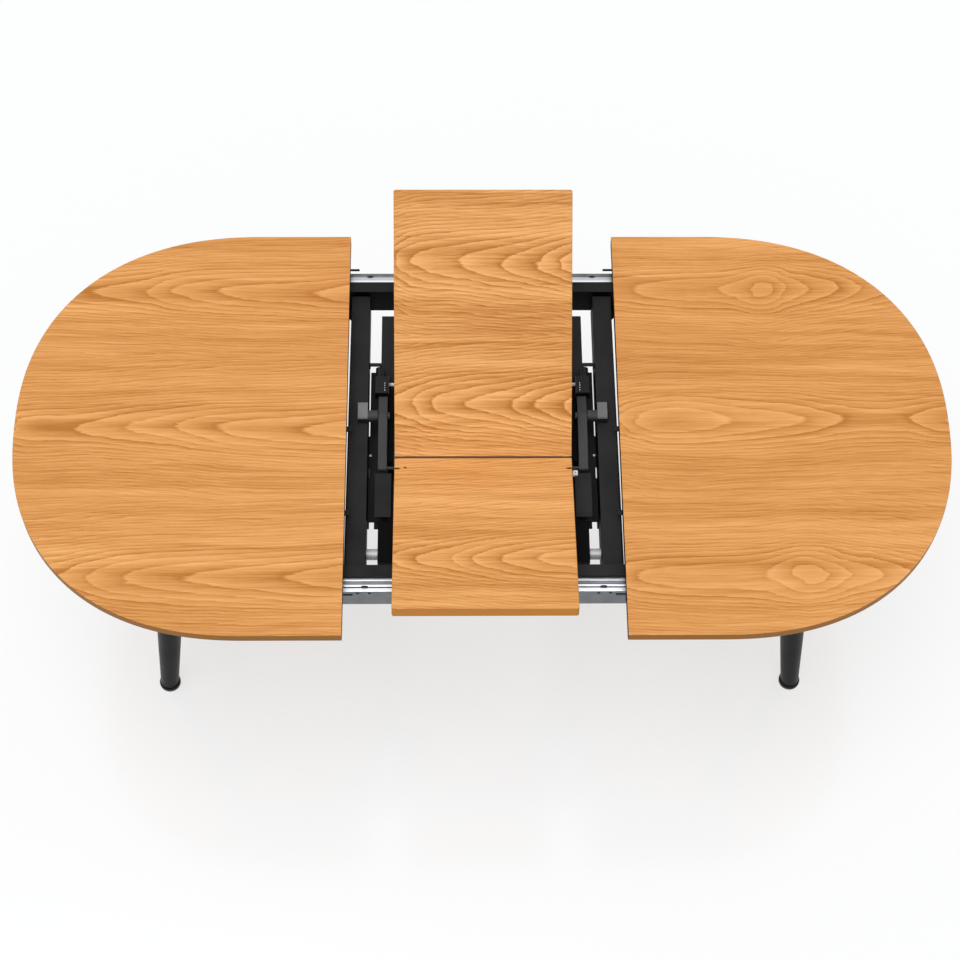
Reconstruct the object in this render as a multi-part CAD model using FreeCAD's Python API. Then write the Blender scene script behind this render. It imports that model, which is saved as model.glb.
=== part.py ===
import FreeCAD, Part
import math
import os

# Extension table with two sliding top halves and a two-wing folding leaf, millimetres.
# X runs along the table, Y front to back (front is -Y), Z up from the floor.
# The pose built here has the halves pulled apart and the leaf half raised.

# Whole table
HEIGHT = 750.0
DEPTH = 1000.0
TOP_THICK = 25.0
HALF_STRAIGHT = 197.0
HALF_ROUND = 525.0
OUTLINE_POWER = 2.3
OUTLINE_STEPS = 28
OPEN_GAP = 596.0
EDGE_RADIUS = 2.0

# Folding leaf
LEAF_WIDTH = 385.0
SPINE_Y = -76.0
SPINE_GAP = 0.4
WING_CORNER = 5.0
WING_OPEN_DEG = 48.0
FRONT_TURN_DEG = -22.0
ARM_TURN_DEG = 8.0

# Clearances between pieces that move past each other
RUN_CLEAR = 0.05
SLIDE_CLEAR = 0.5
SIDE_CLEAR = 1.0

# Steel centre frame
RAIL_LENGTH = 800.0
RAIL_WIDTH = 27.0
RAIL_TALL = 78.0
RAIL_INSET = 128.0
FRAME_MID_Y = 25.0
RAIL_DROP = 32.0
RAIL_WALL = 2.0
CROSS_WIDTH = 42.0
CROSS_TALL = 70.0
CROSS_OUT_X = 295.0
CROSS_DROP = 50.0
BAR_WIDTH = 14.0
BAR_REAR_STEP = 17.0
BAR_REAR_STEP_Y = 108.0
BAR_FRONT_STEP = 19.0
BAR_FRONT_AHEAD = 128.0
BAR_WALL = 2.5
BAR_TALL = 60.0
BAR_IN_X = 195.0
BAR_DROP = 60.0
BAR_FRONT_CLEAR = 20.0
BAR_REAR_CLEAR = 47.0
NOTCH_WIDE = 44.0
NOTCH_DEEP = 45.0
CAP_FLANGE = 3.0
CAP_PLUG = 12.0
BUFFER_R = 8.0
BUFFER_X = 120.0

# Brackets and spacers between the side bars and the cross tubes
BRIDGE_Y = 194.0
BRIDGE_WIDE = 9.0
BRIDGE_SHEET = 3.0
BRIDGE_TALL = 14.0
GEAR_PLATE_SET_BACK = 26.0
GEAR_PLATE_REAR_Y = 203.0
GEAR_SLIT = 2.6
GEAR_SLIT_Y = 37.0
GEAR_SLOT_Y = (-70.0, -42.0)
GEAR_PLATE_THICK = 5.0
GEAR_PLATE_RISE = 6.0
GUSSET_LEG = 32.0
GUSSET_THICK = 4.0
SPACER_SHARE = 0.3125
SPACER_R = 12.0
SPACER_BORE_R = 3.5
SPACER_DROP = 85.0
SHELF_X = (200.0, 236.5)
SHELF_SET_BACK = 10.0
SHELF_LONG = 108.0
SHELF_SHEET = 4.0
SHELF_LIP = 16.0

# Swing arms and their pivots
PIVOT_Y = 48.0
PIVOT_DROP = 39.0
LUG_LONG = 43.0
LUG_WIDE = 22.0
LUG_TALL = 22.0
LUG_BACK_X = 275.0
LUG_REAR_Y = 79.0
LUG_NOSE = 3.0
PIVOT_R = 5.0
SLEEVE_R = 13.0
HEAD_R = 8.0
HEAD_THICK = 4.0
ARM_IN_X = 210.0
ARM_WIDE = 20.0
ARM_EYE_R = 9.0
ARM_HALF_TALL = 7.5
ARM_TAIL = 52.0
ARM_TAIL_TOP = -12.0
ARM_TAIL_TALL = 9.0
LEAF_PIN_DROP = 36.0
LEAF_PIN_R = 4.0
LEAF_PIN_HEAD_R = 6.5
LEAF_PIN_HEAD = 3.5

# Friction dampers that hold the leaf where it is put
DAMPER_X = (208.0, 239.0)
DAMPER_Y = (105.0, 150.0)
DAMPER_TALL = 26.0
DAMPER_CORNER = 4.0
DAMPER_NOSE_R = 9.5
DAMPER_NOSE = 26.0
DAMPER_NOSE_X = 228.0

# Brackets under the front wing
PLATE_THICK = 4.0
PLATE_X = (104.0, 184.0)
PLATE_Y = (-190.0, -86.0)
PLATE_CORNER = 10.0
EAR_IN_X = 172.0
EAR_THICK = 6.0
EAR_R = 8.0
EAR_REACH = 60.0

# Cylinder hinges let into the meeting edges of the wings
BARREL_R = 7.0
BARREL_LONG = 28.0
BARREL_DROP = 9.0
BARREL_X = (-150.0, 0.0, 150.0)
KNUCKLE_R = 1.6
KNUCKLE_LONG = 14.0
KNUCKLE_X = (-178.0, 178.0)

# Ball-bearing slides: a fixed channel, a middle profile with two heads, a moving channel.
# Depths are taken outwards from the rail.
SLIDE_TALL = 66.0
OUTER_DEEP = 20.0
SLIDE_SHEET = 2.5
SLIDE_LIP = 3.5
SLIDE_LONG = 372.0
SLIDE_START_X = 8.0
SLIDE_Z_DROP = 75.0
MID_TALL = 40.0
MID_BACK = 6.5
MID_NECK = 22.0
MID_DEEP = 31.0
MID_HEAD_TALL = 62.0
MID_SHEET = 2.0
INNER_BACK = 24.0
INNER_GAP = 1.5
BALL_GAP = 3.0
INNER_SHEET = 2.0
RETAINER_CLEAR = 0.3
RETAINER_DEEP = 4.0
RETAINER_LONG = 180.0
LEVER_REACH = 20.0
LEVER_LAP = 40.0
LEVER_TALL = 6.0
LEVER_SHEET = 3.0
LEVER_DROP = 39.0
LEVER_ROUND = 2.5

# Angle brackets between slide and top half
ANGLE_SHEET = 3.0
ANGLE_FOOT = 40.0
ANGLE_BELOW = 55.0
ANGLE_SET_BACK = 3.0

# Alignment tabs on the inner edges
TAB_Y = (8.0, -199.0)
TAB_WIDE = 12.0
TAB_THICK = 3.0
TAB_REACH = 10.0
TAB_HOLD = 30.0

# Legs
FOOT_X = 748.0
FOOT_INSET_Y = 217.0
LEG_TOP_X = 675.0
LEG_TOP_INSET_Y = 276.0
LEG_R_LOW = 21.5
LEG_R_HIGH = 40.0
LEG_WALL = 2.0
PAD_R = 25.0
PAD_TALL = 12.0
PAD_ROUND = 3.0
PAD_NECK_R = 20.0
PAD_NECK = 4.0
LEG_PLATE = 120.0
LEG_PLATE_THICK = 6.0
LEG_PLATE_CORNER = 12.0
BEAM_WIDE = 30.0
BEAM_WALL = 2.0

# Derived sizes
UNDER = HEIGHT - TOP_THICK
HALF_DEPTH = DEPTH / 2.0
FOOT_Y = HALF_DEPTH - FOOT_INSET_Y
LEG_TOP_Y = HALF_DEPTH - LEG_TOP_INSET_Y
RAIL_OUT_Y = FRAME_MID_Y + HALF_DEPTH - RAIL_INSET
INNER_X = OPEN_GAP / 2.0
RAIL_IN_Y = RAIL_OUT_Y - RAIL_WIDTH
FRONT_RAIL_IN_Y = 2 * FRAME_MID_Y - RAIL_IN_Y
RAIL_TOP = HEIGHT - RAIL_DROP
RAIL_LOW = RAIL_TOP - RAIL_TALL
CROSS_IN_X = CROSS_OUT_X - CROSS_WIDTH
CROSS_TOP = HEIGHT - CROSS_DROP
CROSS_LOW = CROSS_TOP - CROSS_TALL
BAR_OUT_X = BAR_IN_X + BAR_WIDTH
BAR_REAR_X = BAR_OUT_X + BAR_REAR_STEP
BAR_FRONT_X = BAR_OUT_X + BAR_FRONT_STEP
BAR_FRONT_Y = FRONT_RAIL_IN_Y + BAR_FRONT_CLEAR
BAR_REAR_Y = RAIL_IN_Y - BAR_REAR_CLEAR
BAR_FRONT_STEP_Y = SPINE_Y - BAR_FRONT_AHEAD
GEAR_PLATE_Y = (BAR_FRONT_STEP_Y + GEAR_PLATE_SET_BACK, GEAR_PLATE_REAR_Y)
SPACER_Y = BAR_FRONT_Y + SPACER_SHARE * (BAR_FRONT_STEP_Y - BAR_FRONT_Y)
SHELF_FRONT_Y = BAR_FRONT_STEP_Y + SHELF_SET_BACK
SHELF_Y = (SHELF_FRONT_Y, SHELF_FRONT_Y + SHELF_LONG)
BAR_TOP = HEIGHT - BAR_DROP
BAR_LOW = BAR_TOP - BAR_TALL
PIVOT_Z = HEIGHT - PIVOT_DROP
LEAF_PIN_Z = HEIGHT - LEAF_PIN_DROP
ARM_OUT_X = ARM_IN_X + ARM_WIDE
LUG_IN_X = LUG_BACK_X - LUG_WIDE
SLIDE_Z = HEIGHT - SLIDE_Z_DROP
MID_SHIFT = INNER_X / 2.0
INNER_OUT = MID_DEEP + INNER_GAP + INNER_SHEET
INNER_TALL = MID_HEAD_TALL + 2 * (BALL_GAP + INNER_SHEET)
PAD_TOP = PAD_TALL + PAD_NECK
X_AXIS = FreeCAD.Vector(1, 0, 0)
Y_AXIS = FreeCAD.Vector(0, 1, 0)
Z_AXIS = FreeCAD.Vector(0, 0, 1)
ORIGIN = FreeCAD.Vector(0, 0, 0)


def vec(x, y, z):
    return FreeCAD.Vector(x, y, z)


def block(x0, x1, y0, y1, z0, z1):
    return Part.makeBox(x1 - x0, y1 - y0, z1 - z0, vec(x0, y0, z0))


def rod_x(radius, x0, x1, y, z):
    return Part.makeCylinder(radius, x1 - x0, vec(x0, y, z), X_AXIS)


def sheet_x(points, x0, x1):
    # A profile given as (y, z) pairs, drawn out along X.
    corners = [vec(x0, y, z) for y, z in points]
    face = Part.Face(Part.makePolygon(corners + corners[:1]))
    return face.extrude(vec(x1 - x0, 0, 0))


def sheet_y(points, y0, y1):
    # A profile given as (x, z) pairs, drawn out along Y.
    corners = [vec(x, y0, z) for x, z in points]
    face = Part.Face(Part.makePolygon(corners + corners[:1]))
    return face.extrude(vec(0, y1 - y0, 0))


def mirror_x(shape):
    return shape.mirror(ORIGIN, X_AXIS)


def mirror_y(shape):
    # Across the middle of the centre frame, which sits a little behind the middle of the top.
    return shape.mirror(vec(0, FRAME_MID_Y, 0), Y_AXIS)


def tube(outer, wall, along):
    # A hollow rectangular tube, open at both ends, made from its outer block.
    b = outer.BoundBox
    pad = {"x": (0, wall, wall), "y": (wall, 0, wall)}[along]
    inner = block(b.XMin + pad[0], b.XMax - pad[0], b.YMin + pad[1], b.YMax - pad[1],
                  b.ZMin + pad[2], b.ZMax - pad[2])
    return outer.cut(inner)


def round_edges(shape, radius, wanted):
    return shape.makeFillet(radius, [e for e in shape.Edges if wanted(e)])


def save(name, shape):
    solids = shape.Solids
    body = solids[0] if len(solids) == 1 else Part.makeCompound(solids)
    body.exportStep("parts/" + name + ".step")


def save_pair(left_name, right_name, right_shape):
    save(right_name, right_shape)
    save(left_name, mirror_x(right_shape))


# Top halves

def top_half():
    # D-shaped board: straight inner edge, straight sides, full rounded end.
    start_x = INNER_X + HALF_STRAIGHT
    power = 2.0 / OUTLINE_POWER
    curve = []
    for step in range(2 * OUTLINE_STEPS + 1):
        angle = -math.pi / 2.0 + math.pi * step / (2 * OUTLINE_STEPS)
        along = max(math.cos(angle), 0.0) ** power
        across = math.copysign(abs(math.sin(angle)) ** power, math.sin(angle))
        curve.append(vec(start_x + HALF_ROUND * along, HALF_DEPTH * across, UNDER))
    curve[0] = vec(start_x, -HALF_DEPTH, UNDER)
    curve[-1] = vec(start_x, HALF_DEPTH, UNDER)
    spline = Part.BSplineCurve()
    spline.interpolate(Points=curve, InitialTangent=X_AXIS, FinalTangent=X_AXIS * -1)
    front = Part.makeLine(vec(INNER_X, -HALF_DEPTH, UNDER), curve[0])
    rear = Part.makeLine(curve[-1], vec(INNER_X, HALF_DEPTH, UNDER))
    inner = Part.makeLine(vec(INNER_X, HALF_DEPTH, UNDER), vec(INNER_X, -HALF_DEPTH, UNDER))
    outline = Part.Wire([front, spline.toShape(), rear, inner])
    board = Part.Face(outline).extrude(vec(0, 0, TOP_THICK))

    def outside(edge):
        box = edge.BoundBox
        return box.ZLength < EDGE_RADIUS and box.XMax > INNER_X + EDGE_RADIUS
    return round_edges(board, EDGE_RADIUS, outside)


def edge_tabs():
    # Steel tabs under the inner edge that slip below the leaf and keep it level.
    drop = UNDER - SLIDE_CLEAR
    tabs = []
    for y in TAB_Y:
        profile = [(INNER_X - TAB_REACH, drop - TAB_THICK), (INNER_X + TAB_HOLD, drop - TAB_THICK),
                   (INNER_X + TAB_HOLD, UNDER), (INNER_X, UNDER), (INNER_X, drop),
                   (INNER_X - TAB_REACH, drop)]
        tabs.append(sheet_y(profile, y - TAB_WIDE / 2.0, y + TAB_WIDE / 2.0))
    return Part.makeCompound(tabs)


# Legs of one half

def leg(side):
    # Tapered round steel tube that leans out towards the foot, cut level at both ends.
    low = vec(FOOT_X, side * FOOT_Y, PAD_TOP)
    high = vec(LEG_TOP_X, side * LEG_TOP_Y, UNDER - LEG_PLATE_THICK)
    lean = high - low
    spare = LEG_R_HIGH / lean.Length
    start = low - lean * spare
    slope = (LEG_R_HIGH - LEG_R_LOW) * spare
    r_low = LEG_R_LOW - slope
    r_high = LEG_R_HIGH + slope
    long = lean.Length * (1 + 2 * spare)
    outside = Part.makeCone(r_low, r_high, long, start, lean)
    inside = Part.makeCone(r_low - LEG_WALL, r_high - LEG_WALL, long, start, lean)
    reach = LEG_TOP_X + FOOT_X
    return outside.cut(inside).common(block(0, reach, -reach, reach, low.z, high.z))


def foot_pad(side):
    # Levelling foot: a glossy disc with a short neck up to the leg.
    points = [vec(0, 0, 0), vec(PAD_R - PAD_ROUND, 0, 0), vec(PAD_R, 0, PAD_ROUND),
              vec(PAD_R, 0, PAD_TALL - PAD_ROUND), vec(PAD_R - PAD_ROUND, 0, PAD_TALL),
              vec(PAD_NECK_R, 0, PAD_TALL), vec(PAD_NECK_R, 0, PAD_TOP), vec(0, 0, PAD_TOP)]
    face = Part.Face(Part.makePolygon(points + points[:1]))
    pad = face.revolve(ORIGIN, Z_AXIS, 360)
    pad.translate(vec(FOOT_X, side * FOOT_Y, 0))
    return pad


def leg_plates():
    plates = []
    half = LEG_PLATE / 2.0
    for side in (-1, 1):
        y = side * LEG_TOP_Y
        plate = block(LEG_TOP_X - half, LEG_TOP_X + half, y - half, y + half, UNDER - LEG_PLATE_THICK, UNDER)
        plates.append(round_edges(plate, LEG_PLATE_CORNER, lambda e: e.BoundBox.ZLength > SLIDE_CLEAR))
    return Part.makeCompound(plates)


def leg_beam():
    # Square tube across the underside between the two leg plates.
    reach = LEG_TOP_Y - LEG_PLATE / 2.0
    half = BEAM_WIDE / 2.0
    outer = block(LEG_TOP_X - half, LEG_TOP_X + half, -reach, reach, UNDER - BEAM_WIDE, UNDER)
    return tube(outer, BEAM_WALL, "y")


# Slides, drawn for the rear side: Y grows away from the rail

def channel(back, out, tall, sheet):
    # Open C section with its web at the given distance from the rail.
    y0 = RAIL_OUT_Y + back
    y1 = RAIL_OUT_Y + out
    half = tall / 2.0
    return [(y0, SLIDE_Z - half), (y1, SLIDE_Z - half), (y1, SLIDE_Z - half + sheet),
            (y0 + sheet, SLIDE_Z - half + sheet), (y0 + sheet, SLIDE_Z + half - sheet),
            (y1, SLIDE_Z + half - sheet), (y1, SLIDE_Z + half), (y0, SLIDE_Z + half)]


def outer_member():
    # Fixed member on the rail, with lips that hold the balls in.
    x1 = SLIDE_START_X + SLIDE_LONG
    body = sheet_x(channel(0, OUTER_DEEP, SLIDE_TALL, SLIDE_SHEET), SLIDE_START_X, x1)
    y1 = RAIL_OUT_Y + OUTER_DEEP
    half = SLIDE_TALL / 2.0 - SLIDE_SHEET
    for z0 in (SLIDE_Z - half, SLIDE_Z + half - SLIDE_LIP):
        body = body.fuse(block(SLIDE_START_X, x1, y1 - SLIDE_SHEET, y1, z0, z0 + SLIDE_LIP))
    return body.removeSplitter()


def mid_outline(inset):
    # Narrow head inside the fixed channel, wide head in front of it.
    y0 = RAIL_OUT_Y + MID_BACK + inset
    y1 = RAIL_OUT_Y + MID_NECK + inset
    y2 = RAIL_OUT_Y + MID_DEEP - inset
    narrow = MID_TALL / 2.0 - inset
    wide = MID_HEAD_TALL / 2.0 - inset
    upper = [(y2, SLIDE_Z + wide), (y1, SLIDE_Z + wide), (y1, SLIDE_Z + narrow), (y0, SLIDE_Z + narrow)]
    lower = [(y0, SLIDE_Z - narrow), (y1, SLIDE_Z - narrow), (y1, SLIDE_Z - wide), (y2, SLIDE_Z - wide)]
    return upper + lower


def mid_member():
    # Closed rolled profile that runs in the fixed channel and carries the moving one.
    x0 = SLIDE_START_X + MID_SHIFT
    outside = sheet_x(mid_outline(0), x0, x0 + SLIDE_LONG)
    return outside.cut(sheet_x(mid_outline(MID_SHEET), x0, x0 + SLIDE_LONG))


def ball_retainers():
    # Strips that carry the balls above and below both heads of the middle member.
    x0 = SLIDE_START_X + MID_SHIFT
    x1 = x0 + SLIDE_LONG
    outer_y = RAIL_OUT_Y + MID_BACK
    inner_y = RAIL_OUT_Y + INNER_BACK
    outer_gap = (SLIDE_TALL - MID_TALL) / 2.0 - SLIDE_SHEET - RETAINER_CLEAR
    inner_gap = BALL_GAP - RETAINER_CLEAR
    outer_low = SLIDE_Z + MID_TALL / 2.0
    inner_low = SLIDE_Z + MID_HEAD_TALL / 2.0
    outer = block(x0, x0 + RETAINER_LONG, outer_y, outer_y + RETAINER_DEEP,
                  outer_low, outer_low + outer_gap)
    inner = block(x1 - RETAINER_LONG, x1, inner_y, inner_y + RETAINER_DEEP,
                  inner_low, inner_low + inner_gap)
    strips = [outer, inner]
    level = vec(0, 0, SLIDE_Z)
    lower = [strip.mirror(level, Z_AXIS) for strip in strips]
    return Part.makeCompound(strips + lower)


def inner_member():
    # Moving member: a channel closed around the wide head, its web towards the angle bracket.
    x0 = SLIDE_START_X + INNER_X
    y0 = RAIL_OUT_Y + INNER_BACK
    y1 = RAIL_OUT_Y + INNER_OUT
    half = INNER_TALL / 2.0
    section = [(y1, SLIDE_Z - half), (y1, SLIDE_Z + half), (y0, SLIDE_Z + half),
               (y0, SLIDE_Z + half - INNER_SHEET), (y1 - INNER_SHEET, SLIDE_Z + half - INNER_SHEET),
               (y1 - INNER_SHEET, SLIDE_Z - half + INNER_SHEET), (y0, SLIDE_Z - half + INNER_SHEET),
               (y0, SLIDE_Z - half)]
    return sheet_x(section, x0, x0 + SLIDE_LONG)


def slide_lever():
    # Release lever: a flat strip on the angle bracket whose rounded tip looks out of the gap.
    y0 = RAIL_OUT_Y + INNER_OUT + ANGLE_SHEET
    top = HEIGHT - LEVER_DROP
    x0 = INNER_X - LEVER_REACH
    strip = block(x0, INNER_X + LEVER_LAP, y0, y0 + LEVER_SHEET, top - LEVER_TALL, top)

    def tip(edge):
        return edge.BoundBox.XMax < x0 + SLIDE_CLEAR and edge.BoundBox.YLength > SLIDE_CLEAR
    return round_edges(strip, LEVER_ROUND, tip)


def angle_bracket():
    # Folded angle: the upright flange is screwed to the slide, the other is under the board.
    y0 = RAIL_OUT_Y + INNER_OUT
    x0 = INNER_X + ANGLE_SET_BACK
    x1 = SLIDE_START_X + INNER_X + SLIDE_LONG
    upright = block(x0, x1, y0, y0 + ANGLE_SHEET, UNDER - ANGLE_BELOW, UNDER - ANGLE_SHEET)
    foot = block(x0, x1, y0, y0 + ANGLE_FOOT, UNDER - ANGLE_SHEET, UNDER)
    return upright.fuse(foot).removeSplitter()


# Centre frame

def rail():
    half = RAIL_LENGTH / 2.0
    outer = block(-half, half, RAIL_IN_Y, RAIL_OUT_Y, RAIL_LOW, RAIL_TOP)
    return tube(outer, RAIL_WALL, "x")


def rail_caps():
    # Plastic plugs in the four open ends of the rails.
    half = RAIL_LENGTH / 2.0
    wall = RAIL_WALL + RUN_CLEAR
    flange = block(half, half + CAP_FLANGE, RAIL_IN_Y, RAIL_OUT_Y, RAIL_LOW, RAIL_TOP)
    plug = block(half - CAP_PLUG, half, RAIL_IN_Y + wall, RAIL_OUT_Y - wall, RAIL_LOW + wall, RAIL_TOP - wall)
    cap = flange.fuse(plug).removeSplitter()
    return Part.makeCompound([cap, mirror_x(cap), mirror_y(cap), mirror_x(mirror_y(cap))])


def cross_tube():
    outer = block(CROSS_IN_X, CROSS_OUT_X, FRONT_RAIL_IN_Y, RAIL_IN_Y, CROSS_LOW, CROSS_TOP)
    return tube(outer, RAIL_WALL, "y")


def side_bar():
    # Pressed bar beside the leaf, open below at both ends, stepped back where the arm swings
    # and notched for the leaf pin.
    ends = [(BAR_FRONT_X, BAR_FRONT_Y, BAR_FRONT_STEP_Y), (BAR_REAR_X, BAR_REAR_STEP_Y, BAR_REAR_Y)]
    body = block(BAR_IN_X, BAR_OUT_X, BAR_FRONT_STEP_Y, BAR_REAR_STEP_Y, BAR_LOW, BAR_TOP)
    for x1, y0, y1 in ends:
        shell = block(BAR_IN_X, x1, y0, y1, BAR_LOW, BAR_TOP)
        hollow = block(BAR_IN_X + BAR_WALL, x1 - BAR_WALL, y0 + BAR_WALL, y1 - BAR_WALL,
                       BAR_LOW, BAR_TOP - BAR_WALL)
        body = body.fuse(shell.cut(hollow))
    notch = block(BAR_IN_X, BAR_OUT_X, SPINE_Y - NOTCH_WIDE / 2.0, SPINE_Y + NOTCH_WIDE / 2.0,
                  BAR_TOP - NOTCH_DEEP, BAR_TOP)
    return body.removeSplitter().cut(notch)


def bridge_bracket():
    # Pressed U bracket from the cross tube to the side bar.
    x0 = BAR_REAR_X
    top = BAR_TOP
    low = top - BRIDGE_TALL
    section = [(x0, low), (x0 + BRIDGE_SHEET, low), (x0 + BRIDGE_SHEET, top - BRIDGE_SHEET),
               (CROSS_IN_X - BRIDGE_SHEET, top - BRIDGE_SHEET), (CROSS_IN_X - BRIDGE_SHEET, low),
               (CROSS_IN_X, low), (CROSS_IN_X, top), (x0, top)]
    return sheet_y(section, BRIDGE_Y - BRIDGE_WIDE / 2.0, BRIDGE_Y + BRIDGE_WIDE / 2.0)


def gear_plate():
    # Plate low between the cross tube and the side bar, under the swing gear. A slit runs along
    # the tube at the rear, with a short slot further forward.
    low = BAR_LOW + GEAR_PLATE_RISE
    slit_x = CROSS_IN_X - GEAR_SLIT
    plan = [(BAR_OUT_X, GEAR_PLATE_Y[0]), (CROSS_IN_X, GEAR_PLATE_Y[0]), (CROSS_IN_X, GEAR_SLIT_Y),
            (slit_x, GEAR_SLIT_Y), (slit_x, GEAR_PLATE_Y[1]), (BAR_REAR_X, GEAR_PLATE_Y[1]),
            (BAR_REAR_X, BAR_REAR_STEP_Y), (BAR_OUT_X, BAR_REAR_STEP_Y)]
    corners = [vec(x, y, low) for x, y in plan]
    plate = Part.Face(Part.makePolygon(corners + corners[:1])).extrude(vec(0, 0, GEAR_PLATE_THICK))
    return plate.cut(block(slit_x, CROSS_IN_X, GEAR_SLOT_Y[0], GEAR_SLOT_Y[1], low, low + GEAR_PLATE_THICK))


def gusset():
    # Welded triangle in the corner between cross tube and rail.
    corners = [vec(CROSS_OUT_X, RAIL_IN_Y, RAIL_LOW), vec(CROSS_OUT_X + GUSSET_LEG, RAIL_IN_Y, RAIL_LOW),
               vec(CROSS_OUT_X, RAIL_IN_Y - GUSSET_LEG, RAIL_LOW)]
    return Part.Face(Part.makePolygon(corners + corners[:1])).extrude(vec(0, 0, GUSSET_THICK))


def spacer():
    z = HEIGHT - SPACER_DROP
    body = rod_x(SPACER_R, BAR_FRONT_X, CROSS_IN_X, SPACER_Y, z)
    return body.cut(rod_x(SPACER_BORE_R, BAR_FRONT_X, CROSS_IN_X, SPACER_Y, z))


def stow_shelf():
    # Folded shelf screwed on the side bar beside the front wing, with a lip at its front.
    plate = block(SHELF_X[0], SHELF_X[1], SHELF_Y[0], SHELF_Y[1], BAR_TOP, BAR_TOP + SHELF_SHEET)
    lip = block(BAR_OUT_X, SHELF_X[1], SHELF_Y[0], SHELF_Y[0] + SHELF_SHEET, BAR_TOP - SHELF_LIP, BAR_TOP)
    return plate.fuse(lip).removeSplitter()


def damper():
    # Housing on the side bar behind the arm, with a round nose towards the rear.
    body = block(DAMPER_X[0], DAMPER_X[1], DAMPER_Y[0], DAMPER_Y[1], BAR_TOP, BAR_TOP + DAMPER_TALL)

    def upper(edge):
        return edge.BoundBox.ZMin > BAR_TOP + DAMPER_TALL - SLIDE_CLEAR
    body = round_edges(body, DAMPER_CORNER, upper)
    start = vec(DAMPER_NOSE_X, DAMPER_Y[1], BAR_TOP + DAMPER_NOSE_R + SLIDE_CLEAR)
    return body.fuse(Part.makeCylinder(DAMPER_NOSE_R, DAMPER_NOSE, start, Y_AXIS)).removeSplitter()


def pivot_lug():
    # Block on the cross tube that carries the arm's pivot, nose cut back at the front.
    y0 = LUG_REAR_Y - LUG_LONG
    top = CROSS_TOP + LUG_TALL
    section = [(y0, CROSS_TOP), (LUG_REAR_Y, CROSS_TOP), (LUG_REAR_Y, top - LUG_NOSE),
               (LUG_REAR_Y - LUG_NOSE, top), (y0 + LUG_NOSE, top), (y0, top - LUG_NOSE)]
    body = sheet_x(section, LUG_IN_X, LUG_BACK_X)
    return body.cut(rod_x(PIVOT_R + RUN_CLEAR, LUG_IN_X, LUG_BACK_X, PIVOT_Y, PIVOT_Z))


def pivot_pin():
    # Headed pin with its spacing sleeve between arm and lug.
    head = rod_x(HEAD_R, ARM_IN_X - SIDE_CLEAR - HEAD_THICK, ARM_IN_X - SIDE_CLEAR, PIVOT_Y, PIVOT_Z)
    shank = rod_x(PIVOT_R, ARM_IN_X - SIDE_CLEAR, LUG_BACK_X, PIVOT_Y, PIVOT_Z)
    sleeve = rod_x(SLEEVE_R, ARM_OUT_X + SIDE_CLEAR, LUG_IN_X, PIVOT_Y, PIVOT_Z)
    return head.fuse(shank).fuse(sleeve).removeSplitter()


def leaf_buffers():
    # Soft buffers on the rails that the flat leaf comes to rest on.
    y = (RAIL_IN_Y + RAIL_OUT_Y) / 2.0 - FRAME_MID_Y
    tall = UNDER - SLIDE_CLEAR - RAIL_TOP
    pads = []
    for x in (-BUFFER_X, BUFFER_X):
        for side in (-1, 1):
            pads.append(Part.makeCylinder(BUFFER_R, tall, vec(x, FRAME_MID_Y + side * y, RAIL_TOP)))
    return Part.makeCompound(pads)


# Swing arms and leaf, all drawn flat and then turned to the raised pose

def pose_arm(shape):
    shape.rotate(vec(0, PIVOT_Y, PIVOT_Z), X_AXIS, ARM_TURN_DEG)
    return shape


def pose_front(shape):
    shape.rotate(vec(0, SPINE_Y, LEAF_PIN_Z), X_AXIS, FRONT_TURN_DEG)
    return pose_arm(shape)


def pose_rear(shape):
    shape.rotate(vec(0, SPINE_Y, HEIGHT), X_AXIS, WING_OPEN_DEG)
    return pose_front(shape)


def swing_arm():
    # Flat bar with an eye at each end and a low tail behind the pivot.
    x0 = ARM_IN_X
    x1 = ARM_OUT_X
    half = ARM_HALF_TALL
    bar = sheet_x([(SPINE_Y, LEAF_PIN_Z - half), (PIVOT_Y, PIVOT_Z - half),
                   (PIVOT_Y, PIVOT_Z + half), (SPINE_Y, LEAF_PIN_Z + half)], x0, x1)
    bar = bar.fuse(rod_x(ARM_HALF_TALL, x0, x1, SPINE_Y, LEAF_PIN_Z))
    bar = bar.fuse(rod_x(ARM_EYE_R, x0, x1, PIVOT_Y, PIVOT_Z))
    tail_y = PIVOT_Y + ARM_TAIL
    tail_top = PIVOT_Z + ARM_TAIL_TOP
    bar = bar.fuse(sheet_x([(PIVOT_Y, PIVOT_Z - half), (tail_y, tail_top - ARM_TAIL_TALL),
                            (tail_y, tail_top), (PIVOT_Y, PIVOT_Z + half)], x0, x1))
    bar = bar.removeSplitter()
    bar = bar.cut(rod_x(LEAF_PIN_R + RUN_CLEAR, x0, x1, SPINE_Y, LEAF_PIN_Z))
    return pose_arm(bar.cut(rod_x(PIVOT_R + RUN_CLEAR, x0, x1, PIVOT_Y, PIVOT_Z)))


def knuckle(x, radius):
    # Short hinge pin on the fold line itself.
    return rod_x(radius, x - KNUCKLE_LONG / 2.0, x + KNUCKLE_LONG / 2.0, SPINE_Y, HEIGHT)


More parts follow.
